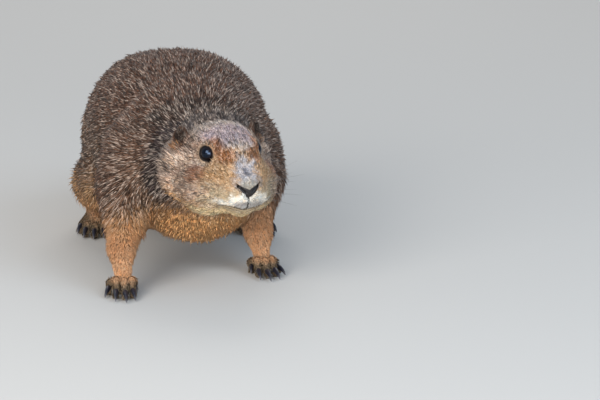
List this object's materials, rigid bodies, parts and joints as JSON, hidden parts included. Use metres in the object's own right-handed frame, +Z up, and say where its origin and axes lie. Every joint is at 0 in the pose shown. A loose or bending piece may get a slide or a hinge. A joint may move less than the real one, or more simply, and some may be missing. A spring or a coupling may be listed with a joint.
{
  "type": "black-tailed prairie dog, still life-size model",
  "caption": "Stocky ground squirrel on all fours, a forefoot stepped forward, head turned a little to its left, short grizzled tan fur, dark eyes, long dark claws, short black-tipped tail.",
  "frame": {"origin": "bottom centre of the bounding box, on the floor between the feet", "axes": "+Y from nose to tail, +X to the animal's left, +Z up"},
  "size_m": [0.121, 0.3362, 0.1109],
  "materials": {
    "coat": "short dense grizzled fur, tan with dark bases and pale and dark tips",
    "pale_coat": "very short pale buff fur",
    "dark_coat": "longer black-brown fur of the tail's tip",
    "eye": "wet, nearly black, sharp highlight",
    "nose": "dark grey bare skin, slightly damp",
    "claw": "blue-black horn, paler at the tips, satin"
  },
  "bodies": {
    "root": {"claw_forefoot_L_1": "claw", "claw_forefoot_L_2": "claw", "claw_forefoot_L_3": "claw", "claw_forefoot_L_4": "claw", "claw_forefoot_L_5": "claw", "claw_forefoot_R_1": "claw", "claw_forefoot_R_2": "claw", "claw_forefoot_R_3": "claw", "claw_forefoot_R_4": "claw", "claw_forefoot_R_5": "claw", "claw_hindfoot_L_1": "claw", "claw_hindfoot_L_2": "claw", "claw_hindfoot_L_3": "claw", "claw_hindfoot_L_4": "claw", "claw_hindfoot_L_5": "claw", "claw_hindfoot_R_1": "claw", "claw_hindfoot_R_2": "claw", "claw_hindfoot_R_3": "claw", "claw_hindfoot_R_4": "claw", "claw_hindfoot_R_5": "claw", "ear_L": "coat", "ear_R": "coat", "eye_L": "eye", "eye_R": "eye", "forefoot_L": "pale_coat", "forefoot_R": "pale_coat", "foreleg_lower_L": "coat", "foreleg_lower_R": "coat", "foreleg_upper_L": "coat", "foreleg_upper_R": "coat", "head": "coat", "hindfoot_L": "pale_coat", "hindfoot_R": "pale_coat", "hindleg_lower_L": "coat", "hindleg_lower_R": "coat", "hindleg_upper_L": "coat", "hindleg_upper_R": "coat", "hindquarters": "coat", "lower_jaw": "pale_coat", "neck": "coat", "nose": "nose", "tail_base": "coat", "tail_tip": "dark_coat", "torso": "coat"}
  },
  "joints": []
}
